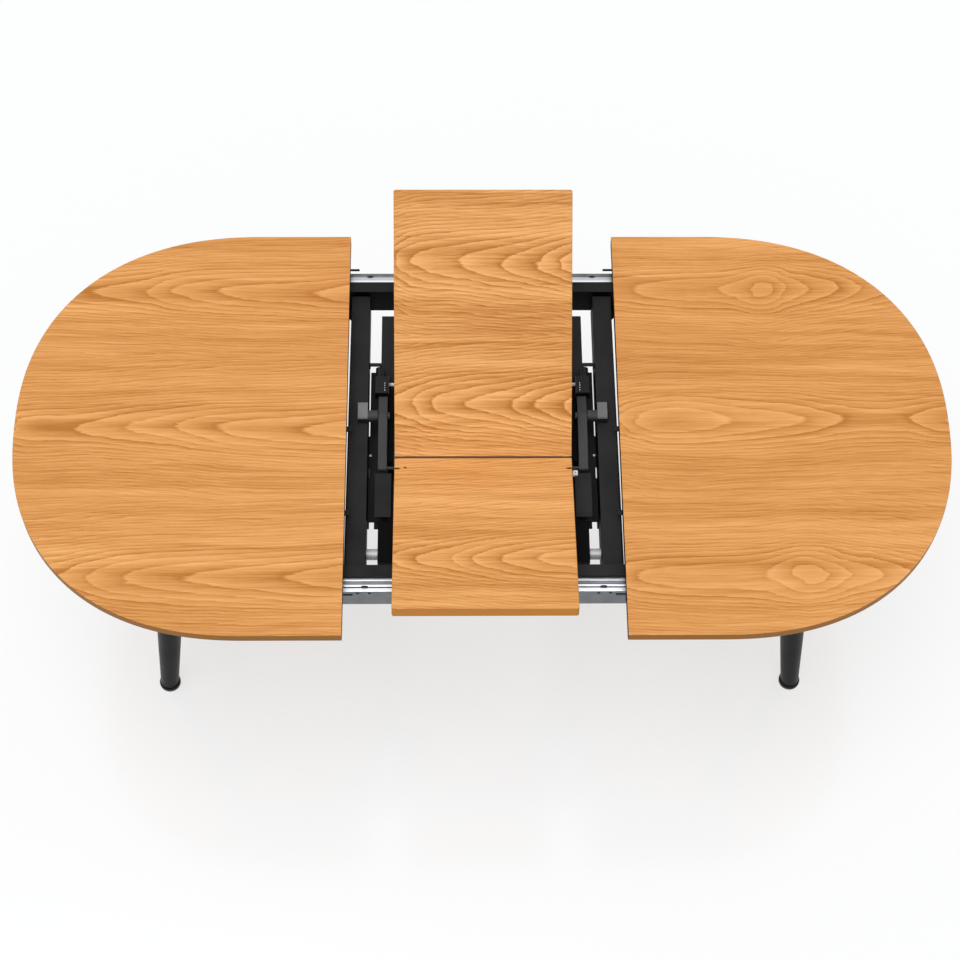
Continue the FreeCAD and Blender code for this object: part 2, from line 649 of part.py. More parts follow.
def wing_board(y0, y1, edge_y, inward):
    # Leaf board with rounded outer edge and bores for the hinge barrels at the meeting edge.
    half = LEAF_WIDTH / 2.0
    board = block(-half, half, y0, y1, UNDER, HEIGHT)
    far_y = y0 if inward < 0 else y1

    def far_corner(edge):
        box = edge.BoundBox
        return box.ZLength > TOP_THICK / 2.0 and abs(box.YMin - far_y) < EDGE_RADIUS
    board = round_edges(board, WING_CORNER, far_corner)

    def far_edge(edge):
        box = edge.BoundBox
        near = min(abs(box.YMin - far_y), abs(box.YMax - far_y))
        return box.ZLength < EDGE_RADIUS and near < EDGE_RADIUS and box.YLength < WING_CORNER + EDGE_RADIUS
    board = round_edges(board, EDGE_RADIUS, far_edge)
    for x in BARREL_X:
        start = vec(x, edge_y, HEIGHT - BARREL_DROP)
        board = board.cut(Part.makeCylinder(BARREL_R + RUN_CLEAR, BARREL_LONG, start, Y_AXIS * inward))
    for x in KNUCKLE_X:
        board = board.cut(knuckle(x, KNUCKLE_R + RUN_CLEAR))
    return board


def front_board():
    edge_y = SPINE_Y - SPINE_GAP / 2.0
    return pose_front(wing_board(-HALF_DEPTH, edge_y, edge_y, -1))


def rear_board():
    edge_y = SPINE_Y + SPINE_GAP / 2.0
    return pose_rear(wing_board(edge_y, HALF_DEPTH, edge_y, 1))


def hinge_barrels(inward):
    edge_y = SPINE_Y + inward * SPINE_GAP / 2.0
    barrels = []
    for x in BARREL_X:
        start = vec(x, edge_y, HEIGHT - BARREL_DROP)
        barrels.append(Part.makeCylinder(BARREL_R, BARREL_LONG, start, Y_AXIS * inward))
    if inward > 0:
        barrels.extend(knuckle(x, KNUCKLE_R) for x in KNUCKLE_X)
    return Part.makeCompound(barrels)


def front_bracket():
    # Plate under the wing with an ear that reaches back to the pin in the swing arm.
    x0 = EAR_IN_X
    x1 = EAR_IN_X + EAR_THICK
    plate = block(PLATE_X[0], PLATE_X[1], PLATE_Y[0], PLATE_Y[1], UNDER - PLATE_THICK, UNDER)
    plate = round_edges(plate, PLATE_CORNER, lambda e: e.BoundBox.ZLength > SLIDE_CLEAR)
    ear = sheet_x([(SPINE_Y - EAR_REACH, UNDER - PLATE_THICK), (SPINE_Y, LEAF_PIN_Z - EAR_R),
                   (SPINE_Y, LEAF_PIN_Z + EAR_R), (PLATE_Y[1] - PLATE_CORNER, UNDER - PLATE_THICK)], x0, x1)
    ear = ear.fuse(rod_x(EAR_R, x0, x1, SPINE_Y, LEAF_PIN_Z))
    body = plate.fuse(ear).removeSplitter()
    return body.cut(rod_x(LEAF_PIN_R + RUN_CLEAR, x0, x1, SPINE_Y, LEAF_PIN_Z))


def leaf_pin():
    # Headed pin fixed in the swing arm; the wing's ear turns on it.
    head_x = EAR_IN_X - SIDE_CLEAR
    head = rod_x(LEAF_PIN_HEAD_R, head_x - LEAF_PIN_HEAD, head_x, SPINE_Y, LEAF_PIN_Z)
    shank = rod_x(LEAF_PIN_R, head_x, ARM_OUT_X, SPINE_Y, LEAF_PIN_Z)
    return head.fuse(shank).removeSplitter()


def both_sides(shape):
    return Part.makeCompound([shape, mirror_x(shape)])


os.makedirs("parts", exist_ok=True)

save_pair("left_top_panel", "right_top_panel", top_half())
save_pair("left_edge_tabs", "right_edge_tabs", edge_tabs())
save_pair("left_leg_plates", "right_leg_plates", leg_plates())
save_pair("left_leg_beam", "right_leg_beam", leg_beam())
for end, side in (("front", -1), ("rear", 1)):
    save_pair("left_leg_" + end, "right_leg_" + end, leg(side))
    save_pair("left_foot_" + end, "right_foot_" + end, foot_pad(side))

slide_pieces = (("slide_outer", outer_member()), ("slide_mid", mid_member()),
                ("slide_inner", inner_member()), ("slide_angle", angle_bracket()))
for piece, rear_shape in slide_pieces:
    save_pair("left_" + piece + "_rear", "right_" + piece + "_rear", rear_shape)
    save_pair("left_" + piece + "_front", "right_" + piece + "_front", mirror_y(rear_shape))
retainers = Part.makeCompound([ball_retainers(), mirror_y(ball_retainers())])
save_pair("left_ball_retainers", "right_ball_retainers", retainers)
levers = Part.makeCompound([slide_lever(), mirror_y(slide_lever())])
save_pair("left_slide_levers", "right_slide_levers", levers)

save("rear_rail", rail())
save("front_rail", mirror_y(rail()))
save("rail_caps", rail_caps())
save_pair("left_cross_tube", "right_cross_tube", cross_tube())
save_pair("left_side_bar", "right_side_bar", side_bar())
save_pair("left_pivot_lug", "right_pivot_lug", pivot_lug())
save("pivot_pins", both_sides(pivot_pin()))
plates = [bridge_bracket(), gear_plate(), gusset(), mirror_y(gusset())]
save("bridge_brackets", both_sides(Part.makeCompound(plates)))
save("spacers", both_sides(spacer()))
save("leaf_buffers", leaf_buffers())
save("leaf_dampers", both_sides(damper()))
save("stow_shelves", both_sides(stow_shelf()))

save_pair("left_swing_arm", "right_swing_arm", swing_arm())
save("leaf_pins", pose_arm(both_sides(leaf_pin())))
save("front_leaf_panel", front_board())
save("front_hinge_barrels", pose_front(hinge_barrels(-1)))
save_pair("left_front_bracket", "right_front_bracket", pose_front(front_bracket()))
save("rear_leaf_panel", rear_board())
save("rear_hinge_barrels", pose_rear(hinge_barrels(1)))
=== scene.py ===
import math

import bmesh
import bpy
from mathutils import Matrix, Vector


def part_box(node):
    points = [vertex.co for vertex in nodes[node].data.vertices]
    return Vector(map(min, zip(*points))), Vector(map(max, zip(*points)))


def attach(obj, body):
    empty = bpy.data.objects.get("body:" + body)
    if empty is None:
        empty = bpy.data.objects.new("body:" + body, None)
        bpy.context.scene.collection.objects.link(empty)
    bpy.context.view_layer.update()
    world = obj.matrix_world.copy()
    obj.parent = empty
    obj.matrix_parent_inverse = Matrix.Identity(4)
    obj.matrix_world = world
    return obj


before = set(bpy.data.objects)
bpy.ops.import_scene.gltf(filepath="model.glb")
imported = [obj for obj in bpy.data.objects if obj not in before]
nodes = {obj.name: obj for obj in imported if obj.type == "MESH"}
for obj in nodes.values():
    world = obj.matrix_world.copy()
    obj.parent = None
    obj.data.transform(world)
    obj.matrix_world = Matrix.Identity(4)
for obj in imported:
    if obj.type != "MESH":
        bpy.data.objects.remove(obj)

scene = bpy.context.scene
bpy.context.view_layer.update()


# Studio: a white sweep of paper under the table, one wide soft lamp high above it and a sky
# that lights less towards the ground. The camera looks down on the top from the front.

class Value:
    """One socket of a finish, so that a pattern is written as plain sums."""

    def __init__(self, finish, socket):
        self.finish = finish
        self.socket = socket

    def math(self, operation, *others):
        inputs = dict(enumerate((self, *others)))
        return self.finish.node("ShaderNodeMath", {"operation": operation}, inputs)

    def swapped(self, operation, other):
        return self.finish.node("ShaderNodeMath", {"operation": operation}, {0: other, 1: self})

    def __add__(self, other):
        return self.math("ADD", other)

    __radd__ = __add__

    def __sub__(self, other):
        return self.math("SUBTRACT", other)

    def __rsub__(self, other):
        return self.swapped("SUBTRACT", other)

    def __mul__(self, other):
        return self.math("MULTIPLY", other)

    __rmul__ = __mul__

    def __truediv__(self, other):
        return self.math("DIVIDE", other)

    def __rtruediv__(self, other):
        return self.swapped("DIVIDE", other)

    def __pow__(self, other):
        return self.math("POWER", other)

    def __rpow__(self, other):
        return self.swapped("POWER", other)

    def __gt__(self, other):
        return self.math("GREATER_THAN", other)

    def __lt__(self, other):
        return self.math("LESS_THAN", other)

    def fract(self):
        return self.math("FRACT")

    def floor(self):
        return self.math("FLOOR")

    def size(self):
        return self.math("ABSOLUTE")

    def at_least(self, other):
        return self.math("MAXIMUM", other)

    def at_most(self, other):
        return self.math("MINIMUM", other)

    def within(self, low, high):
        """Rises softly from nought at low to one at high."""
        return self.finish.node("ShaderNodeMapRange", {"interpolation_type": "SMOOTHSTEP"},
                                {"Value": self, "From Min": low, "From Max": high})


class Finish:
    """One material, or the sky: the nodes of its pattern and the shader that they drive."""

    def __init__(self, name, kind="materials"):
        self.material = getattr(bpy.data, kind).new(name)
        self.material.use_nodes = True
        self.tree = self.material.node_tree
        self.tree.nodes.clear()

    def node(self, kind, settings=None, inputs=None, output=0):
        """Any node: its settings first, then its sockets. A tuple of outputs gives a list."""
        made = self.tree.nodes.new(kind)
        for key, value in (settings or {}).items():
            if key == "stops":
                ramp = made.color_ramp
                while len(ramp.elements) < len(value):
                    ramp.elements.new(1.0)
                for stop, (place, colour) in zip(ramp.elements, value):
                    stop.position = place
                    stop.color = colour
            elif key == "points":
                curve = made.mapping.curves[0]
                while len(curve.points) < len(value):
                    curve.points.new(0.5, 0.5)
                for point, place in zip(curve.points, value):
                    point.location = place
                made.mapping.update()
            else:
                setattr(made, key, value)
        for key, value in (inputs or {}).items():
            if isinstance(value, Value):
                self.tree.links.new(value.socket, made.inputs[key])
            else:
                made.inputs[key].default_value = value
        if isinstance(output, tuple):
            return [Value(self, made.outputs[name]) for name in output]
        return Value(self, made.outputs[output])

    def place(self):
        spot = self.node("ShaderNodeTexCoord", output="Object")
        return self.node("ShaderNodeSeparateXYZ", None, {0: spot}, ("X", "Y", "Z"))

    def noise(self, x, y, z, detail=2.0, rough=0.5):
        spot = self.node("ShaderNodeCombineXYZ", None, {0: x, 1: y, 2: z})
        return self.node("ShaderNodeTexNoise", None,
                         {"Vector": spot, "Scale": 1.0, "Detail": detail, "Roughness": rough})

    def speckle(self, waves, detail=2.0):
        """Noise that is alike in all directions, with so many waves to the metre."""
        x, y, z = self.place()
        return self.noise(x * waves, y * waves, z * waves, detail)

    def mixed(self, share, first, second):
        return self.node("ShaderNodeMix", {"data_type": "RGBA"}, {0: share, 6: first, 7: second}, 2)

    def bump(self, height, depth):
        return self.node("ShaderNodeBump", None, {"Strength": 1.0, "Distance": depth, "Height": height})

    def looked_at(self):
        """One where an eye, a mirror or glass looks this way, nought where light only falls."""
        seen, mirrored, through = self.node("ShaderNodeLightPath", output=(
            "Is Camera Ray", "Is Glossy Ray", "Is Transmission Ray"))
        return seen.at_least(mirrored).at_least(through)

    def end(self, shader):
        self.node("ShaderNodeOutputMaterial", None, {"Surface": shader}, ())
        return self

    def surface(self, inputs):
        return self.end(self.node("ShaderNodeBsdfPrincipled", None, inputs))


def linear(red, green, blue):
    """A colour as it looks on a screen, 0 to 255, as the shader's own numbers."""
    parts = [part / 255.0 for part in (red, green, blue)]
    return (*(part / 12.92 if part <= 0.04045 else ((part + 0.055) / 1.055) ** 2.4 for part in parts), 1.0)


LOOK_AT = Vector((-0.00764, -0.13363, 0.750))
CAMERA_AWAY = 4.69994
CAMERA_UP = math.radians(61.593)
CAMERA_TURN = math.radians(-1.643)
CAMERA_ROLL = math.radians(1.3415)
LENS = 81.91
SENSOR = 36.0
FLOOR_HALF = 9.0
WHITE = linear(255, 255, 255)
PAPER_WHITE = (0.895, 0.92, 0.935, 1.0)
PAPER_GLOW = 0.70
PAPER_GLOSS = 0.055
PAPER_ROUGH = 0.18
SKY_HIGH = 0.60
SKY_LOW = 0.30
SKY_FADE = (0.05, 0.75)
LAMP_POWER = 1.64
LAMP_SPREAD = math.radians(42)
LAMP_PLACE = (0.0, 0.0, 4.0)
LAMP_LEAN = (math.radians(9), math.radians(-7), 0.0)

camera = bpy.data.objects.new("camera", bpy.data.cameras.new("camera"))
camera.data.lens = LENS
camera.data.sensor_width = SENSOR
ahead = Vector((-math.sin(CAMERA_TURN), math.cos(CAMERA_TURN), 0.0))
back = Vector((0, 0, 1)) * math.sin(CAMERA_UP) - ahead * math.cos(CAMERA_UP)
camera.matrix_world = (Matrix.Translation(LOOK_AT + back * CAMERA_AWAY)
                       @ Matrix.Rotation(CAMERA_TURN, 4, "Z")
                       @ Matrix.Rotation(math.pi / 2 - CAMERA_UP, 4, "X")
                       @ Matrix.Rotation(CAMERA_ROLL, 4, "Z"))
scene.collection.objects.link(camera)
scene.camera = camera
scene.view_settings.view_transform = "Standard"

paper = Finish("studio_paper")
flat = paper.node("ShaderNodeBsdfDiffuse", None, {"Color": PAPER_WHITE})
glow = paper.node("ShaderNodeEmission", None, {"Color": WHITE, "Strength": 1.0})
bare = paper.node("ShaderNodeMixShader", None, {0: paper.looked_at() * PAPER_GLOW, 1: flat, 2: glow})
gloss = paper.node("ShaderNodeBsdfGlossy", None, {"Color": WHITE, "Roughness": PAPER_ROUGH})
paper.end(paper.node("ShaderNodeMixShader", None, {0: PAPER_GLOSS, 1: bare, 2: gloss}))
sweep = bmesh.new()
bmesh.ops.create_grid(sweep, x_segments=1, y_segments=1, size=FLOOR_HALF)
floor = bpy.data.objects.new("studio_floor", bpy.data.meshes.new("studio_floor"))
sweep.to_mesh(floor.data)
sweep.free()
floor.data.materials.append(paper.material)
scene.collection.objects.link(floor)

sky = Finish("studio_sky", "worlds")
upward = sky.node("ShaderNodeTexCoord", output="Generated")
rise = sky.node("ShaderNodeSeparateXYZ", None, {0: upward}, "Z")
level = rise.within(*SKY_FADE) * (SKY_HIGH - SKY_LOW) + SKY_LOW
dome = sky.node("ShaderNodeBackground", None, {"Color": WHITE, "Strength": level.at_least(sky.looked_at())})
sky.node("ShaderNodeOutputWorld", None, {"Surface": dome}, ())
scene.world = sky.material

lamp = bpy.data.objects.new("soft_lamp", bpy.data.lights.new("soft_lamp", "SUN"))
lamp.data.energy = LAMP_POWER
lamp.data.angle = LAMP_SPREAD
lamp.location = LAMP_PLACE
lamp.rotation_euler = LAMP_LEAN
scene.collection.objects.link(lamp)


# Centre frame: rails, cross tubes and side bars of steel tube, welded up and powder coated in
# matt black. The coat has a fine orange-peel grain and grey dust on the upper faces; that dust also
# stands as painted light on the tops, and the very dark coat as painted shade on the sides. Soft
# rubber buffers on the rails take the flat leaf.

SIDES = {"left": -1, "right": 1}
ENDS = {"front": -1, "rear": 1}
STEEL_ARRIS = 0.0012
WELD_NEAR = 0.00002
FLAT_ANGLE = math.radians(0.5)
SHARP_ANGLE = math.radians(40)
FRAME_COAT = linear(4, 4, 5)
FRAME_DUST_AND_LIGHT = linear(49, 49, 51)
FRAME_ROUGH = 0.52
FRAME_SHEEN = 0.04
PAINT_SHEEN = 0.12
PIMPLES = 1400
PIMPLE_DEEP = 0.00012
DUST_CLOUDS = 9
DUST_AND_LIGHT_FACING = (0.2, 0.9)
# The side bars, towards the front, lie in the painted shadow of the leaf: where it fades in, and the share of
# dust and light left in it.
BAR_LEAF_SHADOW = (0.10, 0.20)
SHADOWED_SHARE = 0.08
BUFFER_BLACK = linear(22, 22, 23)
BUFFER_SPECKS = 700
BUFFER_ROUGH = 0.75
BUFFER_SHEEN = 0.10
BUFFER_ARRIS = 0.0010
FRAME_PIECES = ("front_rail", "rear_rail", "left_cross_tube", "right_cross_tube", "bridge_brackets",
                "stow_shelves")
SIDE_BARS = ("left_side_bar", "right_side_bar")


def dress(names, finish):
    """Gives CAD pieces one finish in every slot."""
    for name in names:
        for slot in nodes[name].material_slots:
            slot.material = finish.material


def soften(names, arris):
    """Rounds the sharp edges of CAD pieces as a coat or a file does."""
    for name in names:
        modifiers = nodes[name].modifiers
        weld = modifiers.new("weld", "WELD")
        weld.merge_threshold = WELD_NEAR
        flat = modifiers.new("flat", "DECIMATE")
        flat.decimate_type = "DISSOLVE"
        flat.angle_limit = FLAT_ANGLE
        bevel = modifiers.new("arris", "BEVEL")
        bevel.width = arris
        bevel.segments = 2
        bevel.limit_method = "ANGLE"
        bevel.angle_limit = SHARP_ANGLE
        bevel.harden_normals = False
        modifiers.new("shade", "WEIGHTED_NORMAL")


def piece(name, body, finish, mesh):
    """Turns a mesh into a named piece of the table that moves with one body."""
    made = bpy.data.objects.new(name, bpy.data.meshes.new(name))
    mesh.to_mesh(made.data)
    mesh.free()
    made.data.materials.append(finish.material)
    scene.collection.objects.link(made)
    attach(made, body)


def block(mesh, spans):
    """Adds a block to a mesh, given its reach along x, y and z, and returns its corners."""
    low, high = [Vector(ends) for ends in zip(*(sorted(span) for span in spans))]
    place = Matrix.Translation((low + high) / 2) @ Matrix.Diagonal((*(high - low), 1.0))
    return bmesh.ops.create_cube(mesh, size=1.0, matrix=place)["verts"]


def rounded_block(mesh, spans, arris):
    """Adds a block with rounded edges to a mesh."""
    edges = dict.fromkeys(edge for corner in block(mesh, spans) for edge in corner.link_edges)
    bmesh.ops.bevel(mesh, geom=list(edges), offset=arris, affect="EDGES", segments=2, profile=0.5,
                    material=-1)


def flipped(span, sign):
    """A reach along x, on the right as it is, on the left mirrored."""
    return [sign * end for end in span]


def powder_coat(name, coat, dust_and_light, rough, sheen=PAINT_SHEEN, leaf_shadow=None):
    """Sprayed and baked powder: fine pimples, a slightly uneven sheen, and a cloudy grey dusting on the
    upper faces, which is also painted light on the tops against painted shade on the sides; along
    one stretch it fades out as the painted shadow of a part above."""
    made = Finish(name)
    facing = made.node("ShaderNodeTexCoord", output="Normal")
    over = made.node("ShaderNodeSeparateXYZ", None, {0: facing}, "Z").within(*DUST_AND_LIGHT_FACING)
    pimples = made.speckle(PIMPLES, 1.0)
    clouds = made.speckle(DUST_CLOUDS, 3.0)
    share = over * (0.5 + clouds * 0.7) + (clouds - 0.5) * 0.3 + (pimples - 0.5) * 0.25
    # Painted shadow of the leaf: the dust and painted light fade out towards the front of the bar.
    if leaf_shadow:
        y = made.place()[1]
        share = share * (SHADOWED_SHARE + y.within(*leaf_shadow) * (1.0 - SHADOWED_SHARE))
    return made.surface({"Base Color": made.mixed(share.at_least(0.0), coat, dust_and_light),
                         "Roughness": rough + (clouds - 0.5) * 0.2, "Specular IOR Level": sheen,
                         "Normal": made.bump(pimples, PIMPLE_DEEP)})


frame_black = powder_coat("frame_black", FRAME_COAT, FRAME_DUST_AND_LIGHT, FRAME_ROUGH, FRAME_SHEEN)
dress(FRAME_PIECES, frame_black)
dress(SIDE_BARS, powder_coat("bar_black", FRAME_COAT, FRAME_DUST_AND_LIGHT, FRAME_ROUGH, FRAME_SHEEN, BAR_LEAF_SHADOW))
soften(FRAME_PIECES + SIDE_BARS, STEEL_ARRIS)

rubber = Finish("buffer_rubber")
specks = rubber.speckle(BUFFER_SPECKS)
rubber.surface({"Base Color": BUFFER_BLACK, "Roughness": BUFFER_ROUGH + (specks - 0.5) * 0.2,
                "Specular IOR Level": BUFFER_SHEEN})
dress(("leaf_buffers",), rubber)
soften(("leaf_buffers",), BUFFER_ARRIS)

# Black strips along the outer side of the cross tubes, thicker to the front, in the buffer rubber:
# painted shade that darkens the slit beside each half.
STRIP_Y = (-0.318, 0.320)
STRIP_Z = (0.6915, 0.6993)
STRIP_FRONT = 0.0040
STRIP_REAR = 0.0003
tube_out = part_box("right_cross_tube")[1].x
strips = bmesh.new()
for sign in SIDES.values():
    corners = block(strips, (flipped((tube_out, tube_out + STRIP_FRONT), sign), STRIP_Y, STRIP_Z))
    thinned = [corner for corner in corners if corner.co.y > 0 and abs(corner.co.x) > tube_out + STRIP_REAR]
    bmesh.ops.translate(strips, vec=(sign * (STRIP_REAR - STRIP_FRONT), 0.0, 0.0), verts=thinned)
piece("tube_shade_strips", "centre_frame", rubber, strips)

# Black lips at the front of the gear plates, and a plug in the slot of the left one.
PLATE_THICK = 0.005
LIP_INSET = 0.0002
LIP_X = ((0.2282, 0.2385), (0.2492, 0.2528))
LIP_Y = (-0.1945, -0.1782)
PLUG_X = (-0.2528, -0.2506)
PLUG_Y = (-0.0698, -0.0422)
LIP_ARRIS = 0.0004
plate_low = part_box("bridge_brackets")[0].z
plate_top = plate_low + PLATE_THICK
lip_z = (plate_low + LIP_INSET, plate_top - LIP_INSET)
lips = bmesh.new()
for sign in SIDES.values():
    for span in LIP_X:
        rounded_block(lips, (flipped(span, sign), LIP_Y, lip_z), LIP_ARRIS)
rounded_block(lips, (PLUG_X, PLUG_Y, lip_z), LIP_ARRIS)
piece("plate_lips", "centre_frame", frame_black, lips)


# Rail caps and release levers: plugs pushed into the open ends of the rails, and a lever on
# each moving slide channel, all moulded in black plastic with a fine grain.

MOULDED_COLOUR = linear(17, 17, 18)
MOULDED_GRAIN = 900
MOULDED_DEEP = 0.00008
MOULDED_ROUGH = 0.45
MOULDED_SHEEN = 0.22
MOULDED_ARRIS = 0.0008
MOULDED_PIECES = ("rail_caps", "left_slide_levers", "right_slide_levers")

moulded_black = Finish("moulded_black")
grain = moulded_black.speckle(MOULDED_GRAIN)
moulded_black.surface({"Base Color": MOULDED_COLOUR, "Roughness": MOULDED_ROUGH + (grain - 0.5) * 0.3,
                       "Specular IOR Level": MOULDED_SHEEN,
                       "Normal": moulded_black.bump(grain, MOULDED_DEEP)})
dress(MOULDED_PIECES, moulded_black)
soften(MOULDED_PIECES, MOULDED_ARRIS)


# Slides: ball slides rolled from bright zinc-plated strip. A fixed channel is screwed to the
# rail, a closed middle profile runs in it on balls, and a moving channel carries the half.

ZINC = linear(240, 243, 247)
ZINC_SHADE = linear(96, 99, 104)
ZINC_ROUGH = 0.32
DRAWN_LINES = (6, 1500)
DRAWN_DEEP = 0.00004
BLOOM = 40
SLIDE_ARRIS = 0.0008
SLIDE_PIECES = [f"{side}_{member}_{end}" for side in SIDES
                for member in ("slide_outer", "slide_mid", "slide_inner") for end in ENDS]

# Millimetres out from the face of the rail: the ball race, the web and two edges of the bands of
# painted shade and reflection on the rear pair. The race and the web are painted darker as shade.
RACE_AT = 10.4
RACE_WIDE = (5.0, 3.2)
RACE_SHADE = 0.80
RACE_DEEP = 0.0008
WEB_FROM = 30.5
WEB_SHADE = 0.95
REAR_SHADE_FROM = (11.0, 22.0)
REAR_SHADE_SHARES = (0.40, 0.48)

# Which way a head faces, and its outline in shares of its radius and of its rise.
UP = (0, 0, 1)
DOWN = (0, 0, -1)
HEAD_PROFILE = ((1.0, 0.0), (1.0, 0.4), (0.84, 0.85), (0.52, 1.0), (0.46, 1.0), (0.42, 0.45), (0.0, 0.45))
HEAD_STEPS = 18
HEAD_WELD = 1e-6

front_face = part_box("front_rail")[0].y
rear_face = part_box("rear_rail")[1].y
frame_mid = (rear_face + front_face) / 2
rail_face = (rear_face - front_face) / 2


def zinc_plate(name, light, shade, rough, slide=False):
    """Rolled and plated strip: long drawing lines and a cloudy shine. A slide also has its web painted
    darker as shade, the ball race pressed into the front pair with painted shade in its groove, and
    bands of painted shade and reflection on the rear pair."""
    made = Finish(name)
    x, y, z = made.place()
    lines = made.noise(x * DRAWN_LINES[0], y * DRAWN_LINES[1], z * DRAWN_LINES[1])
    bloom = made.speckle(BLOOM, 3.0)
    share = (lines - 0.35).at_least(0.0) * 0.6 + (bloom - 0.5) * 0.3
    height = lines * 0.1
    if slide:
        out = ((y - frame_mid).size() - rail_face) * 1000
        # Painted shade: the race groove and the web darker; on the rear pair, bands of painted shade and
        # reflection.
        race = (out - RACE_AT).size().within(*RACE_WIDE) * (y < 0.0)
        rear_shade = (out > REAR_SHADE_FROM[0]) * REAR_SHADE_SHARES[0] + (out > REAR_SHADE_FROM[1]) * REAR_SHADE_SHARES[1]
        share = share + race * RACE_SHADE + (out > WEB_FROM) * WEB_SHADE + (y > 0.0) * rear_shade
        height = height - race
    return made.surface({"Base Color": made.mixed(share.at_least(0.0), light, shade), "Metallic": 1.0,
                         "Roughness": rough + (bloom - 0.5) * 0.25,
                         "Normal": made.bump(height, RACE_DEEP if slide else DRAWN_DEEP)})


def heads(name, body, finish, spots, size):
    """Round heads with a socket, all in one mesh: the place of each and the way it faces, and
    for all of them the radius and the rise."""
    radius, rise = size
    mesh = bmesh.new()
    for place, way in spots:
        before = set(mesh.verts)
        line = [mesh.verts.new((r * radius, 0.0, h * rise)) for r, h in HEAD_PROFILE]
        edges = [mesh.edges.new(pair) for pair in zip(line, line[1:])]
        bmesh.ops.spin(mesh, geom=line + edges, cent=(0, 0, 0), axis=UP, angle=math.tau, steps=HEAD_STEPS,
                       use_merge=True)
        fresh = [corner for corner in mesh.verts if corner not in before]
        turn = Vector(UP).rotation_difference(Vector(way)).to_matrix().to_4x4()
        bmesh.ops.transform(mesh, matrix=Matrix.Translation(place) @ turn, verts=fresh)
    bmesh.ops.remove_doubles(mesh, verts=mesh.verts, dist=HEAD_WELD)
    bmesh.ops.recalc_face_normals(mesh, faces=mesh.faces)
    piece(name, body, finish, mesh)


slide_zinc = zinc_plate("slide_zinc", ZINC, ZINC_SHADE, ZINC_ROUGH, slide=True)
dress([*SLIDE_PIECES, "left_ball_retainers", "right_ball_retainers"], slide_zinc)
soften(SLIDE_PIECES, SLIDE_ARRIS)

# Plastic end stops clipped over the lip of the fixed channel, each with a raised tip.
STOP_X = (0.2465, 0.2605)
STOP_OUT = (0.0185, 0.0222)
STOP_Z = (0.7035, 0.7092)
STOP_ARRIS = 0.0008
TIP_X = (0.2500, 0.2570)
TIP_Z = (0.7082, 0.7104)
TIP_ARRIS = 0.0005
stops = bmesh.new()
for sign in SIDES.values():
    for end in ENDS.values():
        stop_y = [frame_mid + end * (rail_face + out) for out in STOP_OUT]
        rounded_block(stops, (flipped(STOP_X, sign), stop_y, STOP_Z), STOP_ARRIS)
        rounded_block(stops, (flipped(TIP_X, sign), stop_y, TIP_Z), TIP_ARRIS)
piece("slide_stops", "centre_frame", moulded_black, stops)

# Rivets through the web of the middle profile.
PIN_COAT = linear(26, 26, 27)
PIN_DUST_AND_LIGHT = linear(46, 46, 48)
PIN_ROUGH = 0.40
RIVET_X = (0.243, 0.268)
RIVET_Z = 0.698
RIVET_SIZE = (0.0036, 0.0009)
MID_DEEP = 0.031
pin_dark = powder_coat("pin_dark", PIN_COAT, PIN_DUST_AND_LIGHT, PIN_ROUGH)
for side, sign in SIDES.items():
    spots = [((sign * x, frame_mid + end * (rail_face + MID_DEEP), RIVET_Z), (0, end, 0))
             for x in RIVET_X for end in ENDS.values()]
    heads(f"{side}_mid_rivets", f"{side}_slide_mids", pin_dark, spots, RIVET_SIZE)


# Swing gear: pivot lugs and swing arms of painted steel plate on headed pins, with a turned
# spacer and a moulded friction damper on each side, and small stops and plugs of white nylon.

ARM_COAT = linear(40, 41, 42)
ARM_DUST_AND_LIGHT = linear(68, 69, 70)
ARM_ROUGH = 0.45
LUG_DUST_AND_HIGHLIGHT = linear(124, 125, 126)
LUG_ROUGH = 0.42
LEAF_PIN_COAT = linear(34, 34, 36)
LEAF_PIN_DUST_AND_LIGHT = linear(58, 58, 60)
GEAR_ARRIS = 0.0015
SWING_ARMS = ("left_swing_arm", "right_swing_arm")
PIVOT_LUGS = ("left_pivot_lug", "right_pivot_lug")

arm_grey = powder_coat("arm_grey", ARM_COAT, ARM_DUST_AND_LIGHT, ARM_ROUGH)
dress((*SWING_ARMS, "pivot_pins"), arm_grey)
# The light grey on the upper faces of the lugs is dust and a painted highlight.
dress(PIVOT_LUGS, powder_coat("lug_grey", ARM_COAT, LUG_DUST_AND_HIGHLIGHT, LUG_ROUGH))
soften(SWING_ARMS + PIVOT_LUGS, GEAR_ARRIS)
dress(("leaf_pins",), powder_coat("leaf_pin_dark", LEAF_PIN_COAT, LEAF_PIN_DUST_AND_LIGHT, PIN_ROUGH))
dress(("leaf_dampers",), moulded_black)
soften(("leaf_dampers",), MOULDED_ARRIS)

# The spacers are turned from bar and left matt, so they carry the grey of the room.
SPACER_LIGHT = linear(214, 215, 216)
SPACER_SHADE = linear(168, 170, 172)
SPACER_LINES = (1800, 30)
SPACER_METAL = 0.25
SPACER_ROUGH = 0.5
spacer_matt = Finish("spacer_matt")
x, y, z = spacer_matt.place()
turning = spacer_matt.noise(x * SPACER_LINES[0], y * SPACER_LINES[1], z * SPACER_LINES[1])
spacer_matt.surface({"Base Color": spacer_matt.mixed(turning, SPACER_LIGHT, SPACER_SHADE),
                     "Metallic": SPACER_METAL, "Roughness": SPACER_ROUGH + (turning - 0.5) * 0.2})
dress(("spacers",), spacer_matt)

